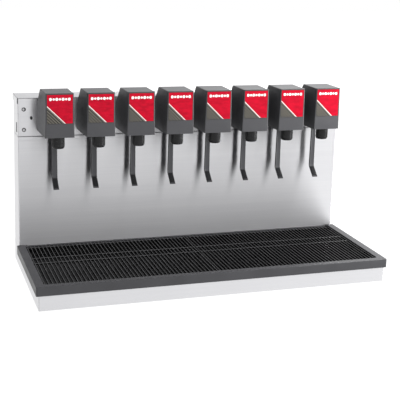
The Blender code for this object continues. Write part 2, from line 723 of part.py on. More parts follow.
def make_transformer():
    """Low-voltage transformer on the inside of the splash panel: core and coil."""
    width, depth, height = TRANSFORMER_SIZE
    y = Y_SPLASH + SHEET + GAP
    low = TRANSFORMER_BOTTOM
    step = TRANSFORMER_STEP
    coil = box((TRANSFORMER_X - width / 2, y + step, low + step),
               (TRANSFORMER_X + width / 2, y + depth, low + height - step))
    half = TRANSFORMER_CORE / 2
    core = box((TRANSFORMER_X - half, y, low), (TRANSFORMER_X + half, y + depth - step, low + height))
    return add_object("transformer", combine(core, [coil]), copper_brown())


clear_scene()
make_base_pan()
make_splash_panel()
make_header_panel()
make_top_cap()
make_rear_cover()
make_drip_tray()
make_drain_spout()
make_grille("grille_left", "left")
make_grille("grille_right", "right")
make_valves()
make_water_rail()
make_transformer()
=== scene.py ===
"""Countertop soda dispenser: eight lever valves on a stainless tower over a drip tray."""
import math

import bmesh
import bpy
from mathutils import Matrix, Vector


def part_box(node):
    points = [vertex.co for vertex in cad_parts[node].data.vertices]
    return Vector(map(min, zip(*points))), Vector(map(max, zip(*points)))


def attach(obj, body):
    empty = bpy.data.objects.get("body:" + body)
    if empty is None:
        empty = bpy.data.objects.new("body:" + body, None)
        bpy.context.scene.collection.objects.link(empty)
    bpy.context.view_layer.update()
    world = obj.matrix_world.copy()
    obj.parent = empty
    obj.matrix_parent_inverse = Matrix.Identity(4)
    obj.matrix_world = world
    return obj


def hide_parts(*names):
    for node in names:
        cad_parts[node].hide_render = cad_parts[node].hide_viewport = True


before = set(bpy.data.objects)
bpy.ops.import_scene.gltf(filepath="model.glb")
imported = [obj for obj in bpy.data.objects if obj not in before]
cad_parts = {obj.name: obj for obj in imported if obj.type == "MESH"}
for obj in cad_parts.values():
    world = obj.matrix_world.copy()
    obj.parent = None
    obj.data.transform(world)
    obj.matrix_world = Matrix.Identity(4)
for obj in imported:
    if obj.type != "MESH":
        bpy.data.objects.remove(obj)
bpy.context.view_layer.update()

VALVES = range(1, 9)
SHEET = 0.0015                  # stainless gauge
FOLD = 0.0022                   # outside radius of a fold
TINY = 0.0003                   # gap left between pieces that touch
RIM_EDGE = 0.0015
TRAY_WALL = 0.0025
LEDGE_DROP = 0.0078
LEDGE_WIDTH = 0.005
BASIN_DEPTH = 0.025
FLOOR_FALL = 0.005
DRAIN_RADIUS = 0.015
BAR = 0.0030                    # grille bar at its foot
BAR_TOP = 0.0017
BAR_PITCH = 0.0098
RAIL = 0.004
RAIL_WALL = 0.0016              # upright part of a side rail
RAIL_SHELF = 0.0018             # low part of it, outside the upright
RIB_DROP = 0.0012               # cross ribs under the bars' tops
FINGERS = (0.004, 0.008)        # bars past the front and the rear rail
CROSS_RIBS = (0.157, 0.196)     # behind the grilles' front edge
COVER_WALL = 0.0022
COVER_EDGE = 0.0017
SHOULDER = 0.068                # cover height where its back slopes in
TOP_START = 0.025               # depth where a cover's top begins
COVER_FRONT = (0.0360, 0.0338)  # half widths of a cover's front, at its foot and its top
COVER_REAR = (0.0390, 0.0352)   # half widths of its back, at its foot and its top
LEVER_ARM = 0.0038
KNEE_DROP = 0.129
LEVER_LENGTH = 0.153
KNEE_RADIUS = 0.012
KNEE_ANGLE = math.radians(48)
RIBS_ROUND_NOZZLE = 26


# ---- places from the CAD ------------------------------------------------
base_low, base_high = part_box("base_pan")
splash_low, splash_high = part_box("splash_panel")
header_low, header_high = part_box("header_panel")
cap_low, cap_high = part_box("top_cap")
rear_low, rear_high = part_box("rear_cover")
tray_low, tray_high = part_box("drip_tray")
grille_low, grille_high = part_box("grille_left")
spout_low, spout_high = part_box("drain_spout")
SPLASH_Y = header_low.y
HALF = base_high.x


# ---- node recipes -----------------------------------------------------
class Finish:
    """A material being built: its tree, its shader and short ways to add nodes."""

    def __init__(self, name, colour, roughness, metallic=0.0, **sockets):
        self.material = bpy.data.materials.new(name)
        self.material.use_nodes = True
        self.material.diffuse_color = (*colour, 1)
        self.tree = self.material.node_tree
        self.shader = self.tree.nodes["Principled BSDF"]
        self.set("Base Color", (*colour, 1))
        self.set("Roughness", roughness)
        self.set("Metallic", metallic)
        for socket, value in sockets.items():
            self.set(socket.replace("_", " "), value)
        self.place = self.add("ShaderNodeTexCoord").outputs["Object"]

    def set(self, socket, value):
        """A plain value on the shader's own socket, or a link to it."""
        if isinstance(value, bpy.types.NodeSocket):
            self.tree.links.new(value, self.shader.inputs[socket])
        else:
            self.shader.inputs[socket].default_value = value

    def add(self, kind, inputs=(), **settings):
        """One node, with its settings and its inputs by position or name."""
        node = self.tree.nodes.new(kind)
        for key, value in settings.items():
            setattr(node, key, value)
        for key, value in dict(inputs).items():
            if isinstance(value, bpy.types.NodeSocket):
                self.tree.links.new(value, node.inputs[key])
            else:
                node.inputs[key].default_value = value
        return node

    def math(self, operation, first, second=0.0, third=0.0):
        node = self.add("ShaderNodeMath", {0: first, 1: second, 2: third}, operation=operation)
        return node.outputs[0]

    def stretched(self, scale, centre=(0, 0, 0)):
        """Object coordinates, scaled along each axis."""
        node = self.add("ShaderNodeMapping", {"Vector": self.place, "Scale": scale,
                                              "Location": centre})
        return node.outputs[0]

    def noise(self, vector, scale, detail=3.0, roughness=0.5):
        node = self.add("ShaderNodeTexNoise", {"Vector": vector, "Scale": scale, "Detail": detail,
                                               "Roughness": roughness})
        return node.outputs["Fac"]

    def between(self, value, low, high, from_low=0.3, from_high=0.7):
        """A value spread over a new range."""
        node = self.add("ShaderNodeMapRange", {"Value": value, "From Min": from_low,
                                               "From Max": from_high, "To Min": low,
                                               "To Max": high})
        return node.outputs[0]

    def blend(self, share, first, second):
        """A mix of two colours."""
        node = self.add("ShaderNodeMix", data_type="RGBA")
        self.feed(node.inputs[0], share)
        self.feed(node.inputs[6], first)
        self.feed(node.inputs[7], second)
        return node.outputs[2]

    def feed(self, socket, value):
        if isinstance(value, bpy.types.NodeSocket):
            self.tree.links.new(value, socket)
        else:
            socket.default_value = (*value, 1) if isinstance(value, tuple) else value

    def bump(self, height, distance, strength=1.0):
        node = self.add("ShaderNodeBump", {"Height": height, "Distance": distance,
                                           "Strength": strength})
        self.set("Normal", node.outputs[0])


def brushed_stainless():
    """Brushed sheet: grain along the sheet, so that highlights smear up and down."""
    steel = Finish("brushed_stainless", (0.69, 0.69, 0.705), 0.31, 1.0, Anisotropic=1.0)
    along = steel.stretched((5, 5, 1100))
    across = steel.stretched((5, 1100, 5))
    facing = steel.add("ShaderNodeSeparateXYZ",
                       {0: steel.add("ShaderNodeNewGeometry").outputs["Normal"]}).outputs[2]
    level = steel.math("GREATER_THAN", steel.math("ABSOLUTE", facing), 0.7)
    pick = steel.add("ShaderNodeMix", data_type="VECTOR")
    for socket, value in zip((pick.inputs[0], pick.inputs[4], pick.inputs[5]),
                             (level, along, across)):
        steel.feed(socket, value)
    grain = steel.noise(pick.outputs[1], 1.0, 4.0, 0.6)
    streak = steel.noise(steel.stretched((1.2, 1.2, 60)), 1.0, 2.0)
    cloud = steel.noise(steel.place, 5.0, 2.0)
    tone = steel.math("ADD", steel.math("MULTIPLY", grain, 0.6),
                      steel.math("MULTIPLY", streak, 0.4))
    steel.set("Base Color", steel.blend(steel.between(tone, 0.0, 1.0),
                                        (0.655, 0.655, 0.675), (0.715, 0.715, 0.730)))
    steel.set("Roughness", steel.between(
        steel.math("ADD", steel.math("MULTIPLY", grain, 0.5), steel.math("MULTIPLY", cloud, 0.5)),
        0.29, 0.34))
    smear = steel.add("ShaderNodeCombineXYZ", {0: 0.0, 1: 0.05, 2: 1.0}).outputs[0]
    steel.set("Tangent", smear)
    steel.bump(grain, 0.00006, 0.6)
    return steel.material


def moulded(name, light, dark, roughness, texture, depth, **sockets):
    """Moulded plastic: a fine spark texture, cloudy sheen and faint scuffs."""
    plastic = Finish(name, light, roughness, **sockets)
    spark = plastic.noise(plastic.place, texture, 2.0, 0.6)
    cloud = plastic.noise(plastic.place, 14.0, 3.0)
    scuff = plastic.noise(plastic.stretched((30, 90, 90)), 1.0, 4.0, 0.7)
    tone = plastic.math("ADD", plastic.math("MULTIPLY", spark, 0.35),
                        plastic.math("MULTIPLY", cloud, 0.65))
    plastic.set("Base Color", plastic.blend(plastic.between(tone, 0.0, 1.0), dark, light))
    worn = plastic.math("ADD", plastic.math("MULTIPLY", cloud, 0.5),
                        plastic.math("MULTIPLY", scuff, 0.5))
    plastic.set("Roughness", plastic.between(worn, roughness - 0.05, roughness + 0.07))
    plastic.bump(spark, depth, 0.6)
    return plastic.material


def tray_plastic():
    """Charcoal moulding, with painted shade darkening the inside of the basin."""
    plastic = Finish("tray_charcoal_plastic", (0.043, 0.043, 0.048), 0.42,
                     Specular_IOR_Level=0.4)
    spark = plastic.noise(plastic.place, 2200.0, 2.0, 0.6)
    cloud = plastic.noise(plastic.place, 14.0, 3.0)
    unshaded_charcoal = plastic.blend(plastic.between(cloud, 0.0, 1.0), (0.036, 0.036, 0.040),
                          (0.047, 0.047, 0.052))
    z = plastic.add("ShaderNodeSeparateXYZ", {0: plastic.place}).outputs[2]
    y = plastic.add("ShaderNodeSeparateXYZ", {0: plastic.place}).outputs[1]
    # painted shade: more than 12 mm below the rim, and behind the front lip, the moulding is made
    # near black
    inside = plastic.math("MULTIPLY", plastic.math("LESS_THAN", z, tray_high.z - 0.012),
                          plastic.math("GREATER_THAN", y, tray_low.y + 0.008))
    plastic.set("Base Color", plastic.blend(inside, unshaded_charcoal, (0.012, 0.012, 0.013)))
    plastic.set("Roughness", plastic.between(cloud, 0.37, 0.48))
    plastic.bump(spark, 0.00008, 0.6)
    return plastic.material


def printed_label():
    """Red label: pale stripe over a dark hatched corner, a row of bubbles at the top.

    The label's UV map runs from 0 to 1 each way. The pattern is worked out in millimetres.
    """
    wide, high = 64.0, 72.0
    label = Finish("label_print", (0.62, 0.012, 0.035), 0.42, Specular_IOR_Level=0.06)
    uv = label.add("ShaderNodeSeparateXYZ",
                   {0: label.add("ShaderNodeTexCoord").outputs["UV"]})
    right = label.math("MULTIPLY", uv.outputs[0], wide)
    up = label.math("MULTIPLY", uv.outputs[1], high)

    def within(value, middle, half):
        return label.math("COMPARE", value, middle, half)

    # the stripe runs from a point up the left edge down to one along the bottom
    rise, run = 43.9, 45.5
    length = math.hypot(rise, run)
    ahead = label.math("ADD", label.math("MULTIPLY", right, rise / length),
                       label.math("MULTIPLY", up, run / length))
    past = label.math("SUBTRACT", ahead, rise * run / length)
    stripe = within(past, 0.0, 0.95)
    corner = label.math("LESS_THAN", past, -0.95)
    wave = label.math("FRACT", label.math("DIVIDE", past, 5.4))
    hatch = label.math("MULTIPLY", within(wave, 0.5, 0.2), corner)
    cloth = label.noise(label.place, 380.0, 3.0)
    mottle = label.noise(label.stretched((60, 60, 160)), 1.0, 3.0, 0.6)
    red = label.blend(label.between(mottle, 0.0, 1.0, 0.35, 0.72),
                      (0.54, 0.005, 0.024), (0.36, 0.004, 0.018))
    charcoal = label.blend(label.between(cloth, 0.0, 1.0), (0.030, 0.028, 0.026),
                           (0.048, 0.045, 0.041))
    hatched = label.blend(hatch, charcoal, (0.17, 0.16, 0.135))
    painted = label.blend(corner, red, hatched)
    painted = label.blend(stripe, painted, (0.82, 0.74, 0.72))
    # bubbles: discs of two sizes in one row
    step = 7.6
    cell = label.math("FRACT", label.math("DIVIDE", label.math("SUBTRACT", right, 5.4), step))
    aside = label.math("MULTIPLY", label.math("SUBTRACT", cell, 0.5), step)
    above = label.math("SUBTRACT", up, 60.4)
    reach = label.math("SQRT", label.math("ADD", label.math("POWER", aside, 2.0),
                                          label.math("POWER", above, 2.0)))
    turn = label.math("FLOOR", label.math("DIVIDE", label.math("SUBTRACT", right, 5.4), step))
    small = label.math("MULTIPLY", label.math("PINGPONG", turn, 1.0), 0.9)
    disc = label.math("LESS_THAN", reach, label.math("SUBTRACT", 3.7, small))
    row = within(right, wide / 2, 3.4 * step)
    painted = label.blend(label.math("MULTIPLY", disc, row), painted, (0.90, 0.88, 0.88))
    # dark printed border
    side = label.math("GREATER_THAN",
                      label.math("ABSOLUTE", label.math("SUBTRACT", right, wide / 2)),
                      wide / 2 - 0.7)
    end = label.math("GREATER_THAN",
                     label.math("ABSOLUTE", label.math("SUBTRACT", up, high / 2)),
                     high / 2 - 0.8)
    border = label.math("MAXIMUM", side, end)
    painted = label.blend(border, painted, (0.05, 0.05, 0.052))
    label.set("Base Color", painted)
    label.set("Roughness", label.between(cloth, 0.26, 0.36))
    return label.material


def laminated_iron():
    """Stacked transformer plates: thin dark lines between lighter edges."""
    iron = Finish("laminated_iron", (0.20, 0.20, 0.21), 0.5, 0.8)
    wave = iron.add("ShaderNodeTexWave", {"Vector": iron.place, "Scale": 320.0,
                                          "Distortion": 0.4}, bands_direction="Y")
    tone = wave.outputs["Fac"]
    iron.set("Base Color", iron.blend(tone, (0.07, 0.065, 0.06), (0.26, 0.25, 0.25)))
    iron.bump(tone, 0.0002, 0.7)
    return iron.material


def wound_tape():
    """Coil under wrapped varnished tape."""
    tape = Finish("coil_tape", (0.42, 0.26, 0.05), 0.35)
    wave = tape.add("ShaderNodeTexWave", {"Vector": tape.place, "Scale": 90.0,
                                          "Distortion": 0.8}, bands_direction="Z")
    tape.set("Base Color", tape.blend(wave.outputs["Fac"], (0.30, 0.17, 0.03),
                                      (0.52, 0.34, 0.08)))
    tape.bump(wave.outputs["Fac"], 0.0003, 0.5)
    return tape.material


STAINLESS = brushed_stainless()
COVER_GREY = moulded("cover_grey_plastic", (0.058, 0.058, 0.063), (0.044, 0.044, 0.049),
                     0.40, 2600.0, 0.00006, Specular_IOR_Level=0.4)
TRAY_CHARCOAL = tray_plastic()
GRILLE_BLACK = moulded("grille_black_plastic", (0.010, 0.010, 0.011), (0.006, 0.006, 0.007),
                       0.22, 1800.0, 0.00003)
NOZZLE_BLACK = moulded("nozzle_black_plastic", (0.010, 0.010, 0.011), (0.006, 0.006, 0.007),
                       0.24, 2400.0, 0.00003, Specular_IOR_Level=0.3)
LEVER_CHARCOAL = moulded("lever_charcoal_plastic", (0.050, 0.050, 0.055),
                         (0.036, 0.036, 0.040), 0.38, 2400.0, 0.00005,
                         Specular_IOR_Level=0.35)
PAD_BLACK = moulded("lever_pad_rubber", (0.016, 0.016, 0.018), (0.009, 0.009, 0.010),
                    0.55, 1500.0, 0.00015, Specular_IOR_Level=0.25)
BODY_BLACK = moulded("valve_body_plastic", (0.030, 0.030, 0.032), (0.018, 0.018, 0.019),
                     0.42, 1600.0, 0.00008)
# black rubber for the rear opening's trim, also the colour of the marks of painted shade on the valve
# plate and returns
BLACK_TRIM_AND_SHADE = moulded("black_trim_and_painted_shade", (0.022, 0.022, 0.024), (0.012, 0.012, 0.013),
                     0.5, 1800.0, 0.00006)
ZINC = moulded("screw_zinc", (0.62, 0.62, 0.63), (0.50, 0.50, 0.52), 0.28, 900.0, 0.00002,
               metallic=1.0)
BRASS = moulded("fitting_brass", (0.62, 0.44, 0.17), (0.50, 0.34, 0.12), 0.30, 700.0, 0.00002,
                metallic=1.0)
COIL_WHITE = moulded("solenoid_shell", (0.55, 0.53, 0.48), (0.46, 0.44, 0.40), 0.45, 1500.0,
                     0.00006)
LABEL_PRINT = printed_label()
IRON = laminated_iron()
TAPE = wound_tape()


# ---- shaping ----------------------------------------------------------
def piece(bm, name, body, finish, stands_for=(), gauge=None, smooth=35):
    """Finish a bmesh as a named piece that rides on a body of the frame."""
    mesh = bpy.data.meshes.new(name)
    bm.to_mesh(mesh)
    bm.free()
    mesh.materials.append(finish)
    made = bpy.data.objects.new(name, mesh)
    bpy.context.scene.collection.objects.link(made)
    mesh.shade_smooth()
    mesh.set_sharp_from_angle(angle=math.radians(smooth))
    if gauge:
        wall = made.modifiers.new("wall", "SOLIDIFY")
        wall.thickness = gauge
        wall.offset = -1
        wall.use_even_offset = True
    flats = made.modifiers.new("flats", "WEIGHTED_NORMAL")
    flats.keep_sharp = True
    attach(made, body)
    if stands_for:
        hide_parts(*stands_for)
    return made


def block(bm, low, high, round_edges=0.0, steps=2):
    """A box between two corners, with its edges rounded."""
    made = bmesh.ops.create_cube(bm, size=1.0)["verts"]
    size = [b - a for a, b in zip(low, high)]
    middle = [(a + b) / 2 for a, b in zip(low, high)]
    bmesh.ops.scale(bm, vec=size, verts=made)
    bmesh.ops.translate(bm, vec=middle, verts=made)
    if round_edges:
        edges = list({edge for vert in made for edge in vert.link_edges})
        soften(bm, edges, round_edges, steps)
        return None
    return made


def soften(bm, edges, width, steps=2):
    return bmesh.ops.bevel(bm, geom=edges, offset=width, offset_type="OFFSET", segments=steps,
                           profile=0.5, affect="EDGES", material=-1, clamp_overlap=True)


def rod(bm, start, axis, radius, length, steps=24, end_radius=None):
    """A capped rod or cone from a point, along an axis."""
    turn = Vector((0, 0, 1)).rotation_difference(Vector(axis)).to_matrix().to_4x4()
    place = Matrix.Translation(start) @ turn @ Matrix.Translation((0, 0, length / 2))
    tip = radius if end_radius is None else end_radius
    return bmesh.ops.create_cone(bm, cap_ends=True, segments=steps, radius1=radius,
                                 radius2=tip, depth=length, matrix=place)["verts"]


def turned(bm, profile, centre, steps=40):
    """A profile of (radius, height) points spun about an upright axis."""
    x, y, z = centre
    points = [bm.verts.new((x + radius, y, z + height)) for radius, height in profile]
    lines = [bm.edges.new(pair) for pair in zip(points, points[1:])]
    bmesh.ops.spin(bm, geom=points + lines, cent=centre, axis=(0, 0, 1), angle=2 * math.pi,
                   steps=steps, use_merge=True, use_duplicate=False)
    bmesh.ops.remove_doubles(bm, verts=bm.verts, dist=1e-6)
    bmesh.ops.recalc_face_normals(bm, faces=bm.faces)


def face_out(bm):
    """Turn an open shell so that its faces point away from its middle."""
    middle = sum((vert.co for vert in bm.verts), Vector()) / len(bm.verts)
    lean = sum(face.normal.dot(face.calc_center_median() - middle) * face.calc_area()
               for face in bm.faces)
    if lean < 0:
        bmesh.ops.reverse_faces(bm, faces=bm.faces)


def folded(outline, pull):
    """Sheet metal: an open outline pulled along an axis, its folds rounded."""
    bm = bmesh.new()
    corners = [bm.verts.new(point) for point in outline]
    lines = [bm.edges.new(pair) for pair in zip(corners, corners[1:])]
    pulled = bmesh.ops.extrude_edge_only(bm, edges=lines)["geom"]
    bmesh.ops.translate(bm, vec=pull, verts=[v for v in pulled if isinstance(v, bmesh.types.BMVert)])
    bm.normal_update()
    folds = [edge for edge in bm.edges if len(edge.link_faces) == 2]
    soften(bm, folds, FOLD, 4)
    bm.normal_update()
    face_out(bm)
    return bm


def rounded_loop(bm, ring, z, steps=5):
    """Edges of a flat rectangle with rounded corners: (x0, y0, x1, y1, radius)."""
    before = set(bm.edges)
    x0, y0, x1, y1, radius = ring
    points = [bm.verts.new((x, y, z)) for x, y in ((x0, y0), (x1, y0), (x1, y1), (x0, y1))]
    bm.faces.new(points)
    bmesh.ops.bevel(bm, geom=points, offset=radius, offset_type="OFFSET", segments=steps,
                    profile=0.5, affect="VERTICES", material=-1)
    made = [edge for edge in bm.edges if edge not in before]
    faces = list({face for edge in made for face in edge.link_faces})
    bmesh.ops.delete(bm, geom=faces, context="FACES_ONLY")
    return made


def stepped_shell(rings):
    """A shell through rounded rectangles, each given with its height.

    They are joined a metre apart, so that rings on one level can't cross, then let down.
    """
    bm = bmesh.new()
    loops = [rounded_loop(bm, ring, -index) for index, (ring, _) in enumerate(rings)]
    for first, second in zip(loops, loops[1:]):
        bmesh.ops.bridge_loops(bm, edges=first + second)
    bmesh.ops.recalc_face_normals(bm, faces=bm.faces)
    for index, (loop, (_, z)) in enumerate(zip(loops, rings)):
        verts = list({vert for edge in loop for vert in edge.verts})
        bmesh.ops.translate(bm, vec=(0, 0, z + index), verts=verts)
    bm.normal_update()
    return bm


def drain_ring(radius):
    """A ring about the drain, as a square with fully rounded corners."""
    x, y = (spout_low.x + spout_high.x) / 2, (spout_low.y + spout_high.y) / 2
    return (x - radius, y - radius, x + radius, y + radius, radius * 0.995)


def slab(outline, normal_axis, low, high, round_edges=0.0004):
    """A flat plate: an outline of points on one plane, given its thickness."""
    bm = bmesh.new()
    face = bm.faces.new([bm.verts.new(point) for point in outline])
    pulled = bmesh.ops.extrude_face_region(bm, geom=[face])["geom"]
    shift = [0.0, 0.0, 0.0]
    shift[normal_axis] = high - low
    bmesh.ops.translate(bm, vec=shift, verts=[v for v in pulled if isinstance(v, bmesh.types.BMVert)])
    bmesh.ops.recalc_face_normals(bm, faces=bm.faces)
    soften(bm, list(bm.edges), round_edges, 1)
    return bm


# ---- tower and base ---------------------------------------------------
def valve_x(number):
    low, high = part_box(f"id_panel_{number}")
    return (low.x + high.x) / 2


def make_base():
    """Skirt with rounded corners, and a floor with the drain hole in it."""
    skirt = (base_low.x, base_low.y, base_high.x, base_high.y, FOLD)
    bm = stepped_shell([(skirt, base_high.z), (skirt, base_low.z),
                        (drain_ring(2 * DRAIN_RADIUS), base_low.z)])
    face_out(bm)
    piece(bm, "base_skirt", "frame", STAINLESS, ["base_pan"], SHEET)


def tower_path(y_front, z):
    """Flange, return, front, return and flange, seen from above."""
    back = splash_high.y
    flange = 0.014
    return [(-HALF + flange, back, z), (-HALF, back, z), (-HALF, y_front, z),
            (HALF, y_front, z), (HALF, back, z), (HALF - flange, back, z)]


def make_splash():
    """Splash panel with its side returns, and the proud hem along its top."""
    top = splash_high.z
    bm = folded(tower_path(SPLASH_Y, splash_low.z), (0, 0, top - splash_low.z))
    piece(bm, "splash_sheet", "frame", STAINLESS, ["splash_panel"], SHEET)
    bm = bmesh.new()
    block(bm, (-HALF + 0.0006, splash_low.y, top - 0.0095), (HALF - 0.0006, SPLASH_Y - 0.00005, top),
          0.0007, 3)
    piece(bm, "splash_hem", "frame", STAINLESS)


def make_header():
    """Valve plate with a hole behind each valve."""
    bm = folded(tower_path(SPLASH_Y, header_low.z), (0, 0, header_high.z - header_low.z))
    for number in VALVES:
        low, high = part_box(f"mounting_block_{number}")
        inside = [(low.x + 0.0057, high.x - 0.0057), (low.z + 0.0057, high.z - 0.0057)]
        for axis, pair in zip((0, 2), inside):
            for cut in pair:
                place, normal = [0.0, 0.0, 0.0], [0.0, 0.0, 0.0]
                place[axis], normal[axis] = cut, 1.0
                front = [f for f in bm.faces if f.calc_center_median().y < SPLASH_Y + 0.0001]
                geom = front + list({e for f in front for e in f.edges})
                geom += list({v for f in front for v in f.verts})
                bmesh.ops.bisect_plane(bm, geom=geom, dist=1e-6, plane_co=place, plane_no=normal)
        (x0, x1), (z0, z1) = inside
        hole = [f for f in bm.faces if x0 < f.calc_center_median().x < x1
                and z0 < f.calc_center_median().z < z1
                and f.calc_center_median().y < SPLASH_Y + 0.0001]
        bmesh.ops.delete(bm, geom=hole, context="FACES")
    piece(bm, "header_sheet", "frame", STAINLESS, ["header_panel"], SHEET)


def make_cap():
    """Lid of the tower, its skirts folded down over both ends."""
    outline = [(cap_low.x, cap_low.y, cap_low.z), (cap_low.x, cap_low.y, cap_high.z),
               (cap_high.x, cap_low.y, cap_high.z), (cap_high.x, cap_low.y, cap_low.z)]
    bm = folded(outline, (0, cap_high.y - cap_low.y, 0))
    piece(bm, "tower_cap", "frame", STAINLESS, ["top_cap"], SHEET - 0.0001)


def make_rear():
    """Service cover with the tube opening at its foot, edged with black trim."""
    half, tall = 0.080, 0.050
    low, high = rear_low, rear_high
    arch = [(half, low.y, low.z), (half, low.y, low.z + tall), (-half, low.y, low.z + tall),
            (-half, low.y, low.z)]
    outline = [(low.x, low.y, high.z), (high.x, low.y, high.z), (high.x, low.y, low.z), *arch,
               (low.x, low.y, low.z)]
    bm = slab(outline, 1, low.y, high.y)
    piece(bm, "rear_sheet", "frame", STAINLESS, ["rear_cover"])
    bm = bmesh.new()
    trim = 0.0022
    block(bm, (-half, low.y - 0.001, low.z), (-half + trim, high.y - 0.0001, low.z + tall), 0.0008)
    block(bm, (half - trim, low.y - 0.001, low.z), (half, high.y - 0.0001, low.z + tall), 0.0008)
    block(bm, (-half, low.y - 0.001, low.z + tall - trim), (half, high.y - 0.0001, low.z + tall),
          0.0008)
    piece(bm, "opening_trim", "frame", BLACK_TRIM_AND_SHADE)


def pan_screw(bm, centre, outward, radius=0.0036, height=0.0016):
    """Domed screw head with a cross recess, standing out of a sheet."""
    face = Vector(outward)
    turn = Vector((0, 0, 1)).rotation_difference(face).to_matrix().to_4x4()
    place = Matrix.Translation(centre) @ turn
    made = bmesh.ops.create_cone(bm, cap_ends=True, segments=20, radius1=radius,
                                 radius2=radius * 0.94, depth=height * 0.5,
                                 matrix=place @ Matrix.Translation((0, 0, height * 0.25)))
    top = max((f for v in made["verts"] for f in v.link_faces if len(f.verts) == 20),
              key=lambda f: (f.calc_center_median() - Vector(centre)).dot(face))
    bmesh.ops.inset_region(bm, faces=[top], thickness=radius * 0.34, depth=height * 0.42)
    bmesh.ops.inset_region(bm, faces=[top], thickness=radius * 0.22, depth=height * 0.10)
    for angle in (0, math.pi / 2):
        bar = bmesh.ops.create_cube(bm, size=1.0)["verts"]
        bmesh.ops.scale(bm, vec=(radius * 0.95, radius * 0.20, height * 0.2), verts=bar)
        bmesh.ops.transform(bm, verts=bar, matrix=place @ Matrix.Rotation(angle, 4, "Z")
                            @ Matrix.Translation((0, 0, height * 0.98)))


def make_hardware():
    """Screws on the valve plate and the rear cover, and black marks of painted shade on the valve
    plate and the returns: rings under the screws, an oval hole and upright slots.
    """
    front = (0, -1, 0)
    bm = bmesh.new()
    for side in (-1, 1):
        for z in (header_low.z + 0.0165, header_low.z + 0.0685):
            pan_screw(bm, (side * (HALF - 0.0150), SPLASH_Y - TINY, z), front, 0.0036, 0.0017)
    columns = [-0.432 + 0.108 * i for i in range(9)]
    for x in columns:
        for z in (rear_low.z + 0.012, rear_high.z - 0.012):
            if abs(x) > 0.09 or z > 0.2:
                pan_screw(bm, (x, rear_high.y - 0.0016, z), (0, 1, 0), 0.0032, 0.0016)
    piece(bm, "sheet_screws", "frame", ZINC)
    bm = bmesh.new()
    for side in (-1, 1):
        for z in (header_low.z + 0.0165, header_low.z + 0.0685):
            # black rings behind the header screws: painted shade round the screw heads
            rod(bm, (side * (HALF - 0.0150), SPLASH_Y + 0.0001, z), front, 0.0052, 0.0005, 24)
        # dark oval: painted shade standing for a hole in the valve plate
        x = side * (HALF - 0.0335)
        z = header_low.z + 0.0465
        dark_oval = rod(bm, (x, SPLASH_Y + 0.0006, z), front, 0.0046, 0.0016, 24)
        bmesh.ops.scale(bm, vec=(0.72, 1, 1), space=Matrix.Translation((-x, 0, 0)), verts=dark_oval)
        # thin black block on each return: painted shade standing for an upright slot
        half_tall, half_deep, y = 0.0125, 0.0042, splash_low.y + 0.0250
        low = (side * HALF - 0.0006, y - half_deep, header_low.z + 0.0195 - half_tall)
        high = (side * HALF + 0.0006, y + half_deep, header_low.z + 0.0195 + half_tall)
        block(bm, low, high, 0.0005, 2)
    piece(bm, "header_shade_marks", "frame", BLACK_TRIM_AND_SHADE)


# ---- drip tray --------------------------------------------------------
def make_tray():
    """Moulded tray: lip, rim, ledge and a sloping floor, ring by ring."""
    x0, y0, x1, y1 = tray_low.x, tray_low.y, tray_high.x, tray_high.y
    top = tray_high.z
    grid = (grille_low.x - 0.0008, grille_low.y - 0.0008, -grille_low.x + 0.0008,
            grille_high.y + 0.0008)
    ledge = top - LEDGE_DROP
    floor = top - BASIN_DEPTH
    drain = ((spout_low.x + spout_high.x) / 2, (spout_low.y + spout_high.y) / 2,
             floor - FLOOR_FALL)

    def outer(inset, radius, z):
        return (x0 + inset, y0 + inset, x1 - inset, y1 - inset, radius), z

    def basin(inset, radius, z):
        a, b, c, d = grid
        return (a + inset, b + inset, c - inset, d - inset, radius), z

    soft = 0.0005
    inner = LEDGE_WIDTH + soft
    bm = stepped_shell([
        outer(0, 0.004, top - 0.022), outer(0, 0.004, top - RIM_EDGE),
        outer(0.0004, 0.0036, top - 0.0005), outer(RIM_EDGE, 0.0026, top),
        basin(-0.0012, 0.0072, top), basin(-0.0003, 0.0063, top - 0.0004),
        basin(0, 0.006, top - 0.0014), basin(0, 0.006, ledge + soft),
        basin(soft, 0.0055, ledge), basin(LEDGE_WIDTH, 0.006, ledge),
        basin(inner, 0.006, ledge - soft), basin(inner, 0.006, floor + 0.003),
        basin(inner + 0.003, 0.008, floor), (drain_ring(DRAIN_RADIUS), drain[2])])
    if sum(face.normal.z * face.calc_area() for face in bm.faces) < 0:
        bmesh.ops.reverse_faces(bm, faces=bm.faces)
    behind = [face for face in bm.faces
              if face.calc_center_median().y > grid[3] - 0.0002
              and face.calc_center_median().z > ledge + soft
              and abs(face.calc_center_median().x) < 0.05]
    lip_behind = [face for face in bm.faces if face.calc_center_median().y > y1 - 0.0001
                  and face.calc_center_median().z < top - RIM_EDGE]
    bmesh.ops.delete(bm, geom=list(set(behind + lip_behind)), context="FACES")
    piece(bm, "tray_moulding", "tray", TRAY_CHARCOAL, ["drip_tray"],
          TRAY_WALL, smooth=50)
    bm = bmesh.new()
    reach = -grid[0] - 0.006
    block(bm, (-reach, grid[3], ledge - 0.0015), (reach, y1, ledge + 0.0048), 0.0006, 3)
    piece(bm, "tray_sill", "tray", TRAY_CHARCOAL)
    bm = bmesh.new()
    x, y, z = drain
    turned(bm, [(DRAIN_RADIUS + 0.0030, 0.0002), (DRAIN_RADIUS + 0.0028, 0.0012),
                (DRAIN_RADIUS - 0.0015, 0.0012), (DRAIN_RADIUS - 0.0020, 0.0004),
                (DRAIN_RADIUS - 0.0020, -0.0012), (DRAIN_RADIUS + 0.0030, 0.0002)],
           (x, y, z), 32)
    for turn in range(3):
        bar = block(bm, (-DRAIN_RADIUS + 0.0016, -0.0007, -0.0008),
                    (DRAIN_RADIUS - 0.0016, 0.0007, 0.0006))
        bmesh.ops.transform(bm, verts=bar, matrix=Matrix.Translation((x, y, z))
                            @ Matrix.Rotation(turn * math.pi / 3, 4, "Z"))
    piece(bm, "drain_strainer", "tray", ZINC)


